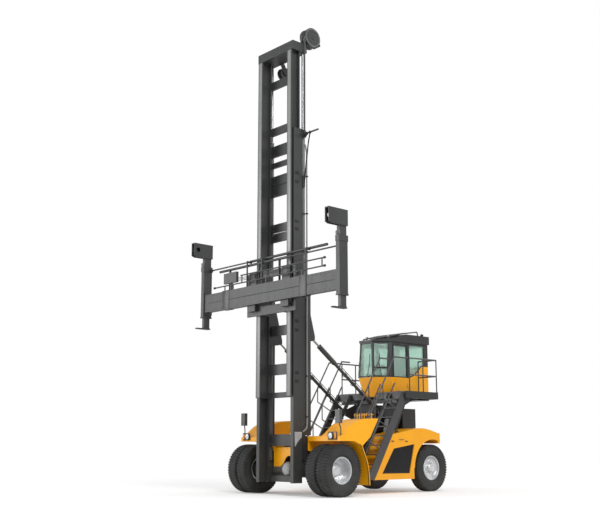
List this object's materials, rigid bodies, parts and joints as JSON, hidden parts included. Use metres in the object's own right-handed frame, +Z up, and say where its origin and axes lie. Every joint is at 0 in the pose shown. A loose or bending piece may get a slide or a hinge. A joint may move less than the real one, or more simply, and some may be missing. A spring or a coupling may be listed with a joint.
{
  "type": "empty container handler",
  "caption": "Wheeled lift truck with a tall two-stage mast, a telescopic side spreader for empty containers, a raised cab on a deck and stairs at both sides.",
  "frame": {"origin": "on the ground, under the middle of the machine's box", "axes": "+Z up, -Y the way the machine faces, +X its left side"},
  "size_m": [6.06, 6.57, 13.5],
  "materials": {
    "yellow_paint": "gloss",
    "frame_paint": "satin",
    "mast_paint": "satin",
    "grille_mesh": "perforated sheet, matt",
    "axle_paint": "matt",
    "rail_paint": "satin",
    "rod_chrome": "polished",
    "tyre_rubber": "matt",
    "rim_silver": "silver paint",
    "window_glass": "green tint",
    "lamp_clear": "clear",
    "seat_fabric": "woven",
    "console_plastic": "grained"
  },
  "bodies": {
    "chassis": {"chassis_frame": "frame_paint", "drive_axle": "axle_paint", "steer_axle": "axle_paint", "front_fenders": "yellow_paint", "rear_body": "yellow_paint", "side_grilles": "grille_mesh", "counterweight": "yellow_paint", "engine_block": "frame_paint", "engine_hood": "frame_paint", "radiator": "frame_paint", "headlights": "lamp_clear", "mirrors": "rail_paint", "stairs": "rail_paint", "platform": "frame_paint", "railings": "rail_paint", "cab_support": "frame_paint", "cab_shell": "yellow_paint", "cab_frame": "frame_paint", "cab_roof": "frame_paint", "roof_guard": "frame_paint", "cab_glass": "window_glass", "seat": "seat_fabric", "console": "console_plastic"},
    "mast_outer": {"outer_mast": "mast_paint", "lift_barrels": "mast_paint"},
    "mast_inner": {"inner_mast": "mast_paint", "lift_rods": "rod_chrome"},
    "upper_sheave": {"upper_sheave": "mast_paint"},
    "lower_sheave": {"lower_sheave": "mast_paint"},
    "carriage": {"carriage": "mast_paint"},
    "spreader": {"spreader_beam": "mast_paint", "extension_cylinders": "mast_paint"},
    "beam_left": {"telescopic_beam_left": "mast_paint"},
    "beam_right": {"telescopic_beam_right": "mast_paint"},
    "head_left": {"head_leg_left": "mast_paint"},
    "head_right": {"head_leg_right": "mast_paint"},
    "front_wheel_left": {"front_tyres_left": "tyre_rubber", "front_rims_left": "rim_silver"},
    "rear_wheel_left": {"rear_tyre_left": "tyre_rubber", "rear_rim_left": "rim_silver"},
    "knuckle_left": {"knuckle_left": "axle_paint"},
    "tilt_barrel_left": {"tilt_barrel_left": "mast_paint"},
    "tilt_rod_left": {"tilt_rod_left": "rod_chrome"},
    "door_left": {"door_left": "yellow_paint", "door_glass_left": "window_glass"},
    "front_wheel_right": {"front_tyres_right": "tyre_rubber", "front_rims_right": "rim_silver"},
    "rear_wheel_right": {"rear_tyre_right": "tyre_rubber", "rear_rim_right": "rim_silver"},
    "knuckle_right": {"knuckle_right": "axle_paint"},
    "tilt_barrel_right": {"tilt_barrel_right": "mast_paint"},
    "tilt_rod_right": {"tilt_rod_right": "rod_chrome"},
    "door_right": {"door_right": "yellow_paint", "door_glass_right": "window_glass"}
  },
  "joints": [
    {"name": "front_wheel_spin_left", "type": "hinge", "parent": "chassis", "child": "front_wheel_left", "pos_m": [1.66, -1.875, 0.685], "axis": [1, 0, 0], "continuous": true},
    {"name": "steer_left", "type": "hinge", "parent": "chassis", "child": "knuckle_left", "pos_m": [0.87, 2.555, 0.685], "axis": [0, 0, 1], "range_deg": [-70, 70]},
    {"name": "rear_wheel_spin_left", "type": "hinge", "parent": "knuckle_left", "child": "rear_wheel_left", "pos_m": [1.1325, 2.555, 0.685], "axis": [1, 0, 0], "continuous": true},
    {"name": "front_wheel_spin_right", "type": "hinge", "parent": "chassis", "child": "front_wheel_right", "pos_m": [-1.66, -1.875, 0.685], "axis": [1, 0, 0], "continuous": true},
    {"name": "steer_right", "type": "hinge", "parent": "chassis", "child": "knuckle_right", "pos_m": [-0.87, 2.555, 0.685], "axis": [0, 0, 1], "range_deg": [-70, 70]},
    {"name": "rear_wheel_spin_right", "type": "hinge", "parent": "knuckle_right", "child": "rear_wheel_right", "pos_m": [-1.1325, 2.555, 0.685], "axis": [1, 0, 0], "continuous": true},
    {"name": "mast_tilt", "type": "hinge", "parent": "chassis", "child": "mast_outer", "pos_m": [0, -1.875, 0.685], "axis": [1, 0, 0], "range_deg": [-5, 3]},
    {"name": "tilt_barrel_swing_left", "type": "hinge", "parent": "chassis", "child": "tilt_barrel_left", "pos_m": [0.7, 0.905, 2.31], "axis": [1, 0, 0], "range_deg": [-3.12, 1.89]},
    {"name": "tilt_rod_slide_left", "type": "slide", "parent": "tilt_barrel_left", "child": "tilt_rod_left", "axis": [0, -0.8046, 0.5938], "range_m": [-0.2592, 0.1559]},
    {"name": "tilt_barrel_swing_right", "type": "hinge", "parent": "chassis", "child": "tilt_barrel_right", "pos_m": [-0.7, 0.905, 2.31], "axis": [1, 0, 0], "range_deg": [-3.12, 1.89]},
    {"name": "tilt_rod_slide_right", "type": "slide", "parent": "tilt_barrel_right", "child": "tilt_rod_right", "axis": [0, -0.8046, 0.5938], "range_m": [-0.2592, 0.1559]},
    {"name": "lift", "type": "slide", "parent": "mast_outer", "child": "mast_inner", "axis": [0, 0, 1], "range_m": [-2.3, 6]},
    {"name": "carriage_lift", "type": "slide", "parent": "mast_inner", "child": "carriage", "axis": [0, 0, 1], "range_m": [-2.3, 6]},
    {"name": "upper_sheave_spin", "type": "hinge", "parent": "mast_inner", "child": "upper_sheave", "pos_m": [0.745, -1.835, 13.2], "axis": [1, 0, 0], "continuous": true},
    {"name": "lower_sheave_spin", "type": "hinge", "parent": "mast_inner", "child": "lower_sheave", "pos_m": [-0.44, -1.835, 12.45], "axis": [1, 0, 0], "continuous": true},
    {"name": "side_shift", "type": "slide", "parent": "carriage", "child": "spreader", "axis": [1, 0, 0], "range_m": [-0.4, 0.4]},
    {"name": "extend_left", "type": "slide", "parent": "spreader", "child": "beam_left", "axis": [1, 0, 0], "range_m": [0, 3.045]},
    {"name": "extend_right", "type": "slide", "parent": "spreader", "child": "beam_right", "axis": [-1, 0, 0], "range_m": [0, 3.045]},
    {"name": "head_lift_left", "type": "slide", "parent": "beam_left", "child": "head_left", "axis": [0, 0, 1], "range_m": [0, 0.305]},
    {"name": "head_lift_right", "type": "slide", "parent": "beam_right", "child": "head_right", "axis": [0, 0, 1], "range_m": [0, 0.305]},
    {"name": "door_swing_left", "type": "hinge", "parent": "chassis", "child": "door_left", "pos_m": [0.668, 2.286, 3.65], "axis": [0, 0, 1], "range_deg": [0, 90]},
    {"name": "door_swing_right", "type": "hinge", "parent": "chassis", "child": "door_right", "pos_m": [-0.668, 2.286, 3.65], "axis": [0, 0, 1], "range_deg": [-90, 0]}
  ],
  "couplings": [
    {"joint": "steer_right", "follows": "steer_left", "ratio": 1},
    {"joint": "carriage_lift", "follows": "lift", "ratio": 1},
    {"joint": "extend_right", "follows": "extend_left", "ratio": 1},
    {"joint": "tilt_barrel_swing_left", "follows": "mast_tilt", "ratio": 0.6147},
    {"joint": "tilt_rod_slide_left", "follows": "mast_tilt", "m_per_rad": 2.9582},
    {"joint": "tilt_barrel_swing_right", "follows": "mast_tilt", "ratio": 0.6147},
    {"joint": "tilt_rod_slide_right", "follows": "mast_tilt", "m_per_rad": 2.9582}
  ]
}
